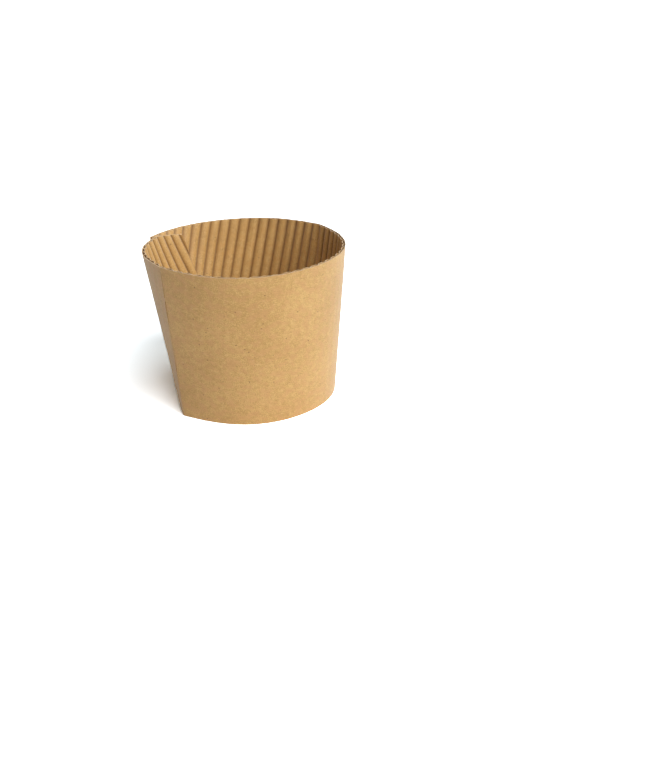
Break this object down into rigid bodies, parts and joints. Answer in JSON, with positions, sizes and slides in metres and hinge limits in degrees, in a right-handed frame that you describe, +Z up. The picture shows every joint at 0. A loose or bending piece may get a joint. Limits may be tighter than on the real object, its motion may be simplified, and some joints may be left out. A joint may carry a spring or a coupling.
{
  "type": "coffee cup sleeve",
  "caption": "Tapered corrugated kraft sleeve that slips round a takeaway cup: smooth liner outside, fluted paper inside, glued lap and perforated folds.",
  "frame": {"origin": "on the standing surface, below the middle of the outer size", "axes": "+Z up, out of the wide rim that the cup enters by; -Y towards the side with the broad plain panel; the left perforated fold lies towards -X and -Y"},
  "size_m": [0.0792, 0.0806, 0.0619],
  "materials": {
    "kraft_liner": "smooth matte kraft paper",
    "kraft_medium": "matte fluted kraft paper"
  },
  "bodies": {
    "root": {"outer_liner": "kraft_liner", "fluted_medium": "kraft_medium"}
  },
  "joints": []
}
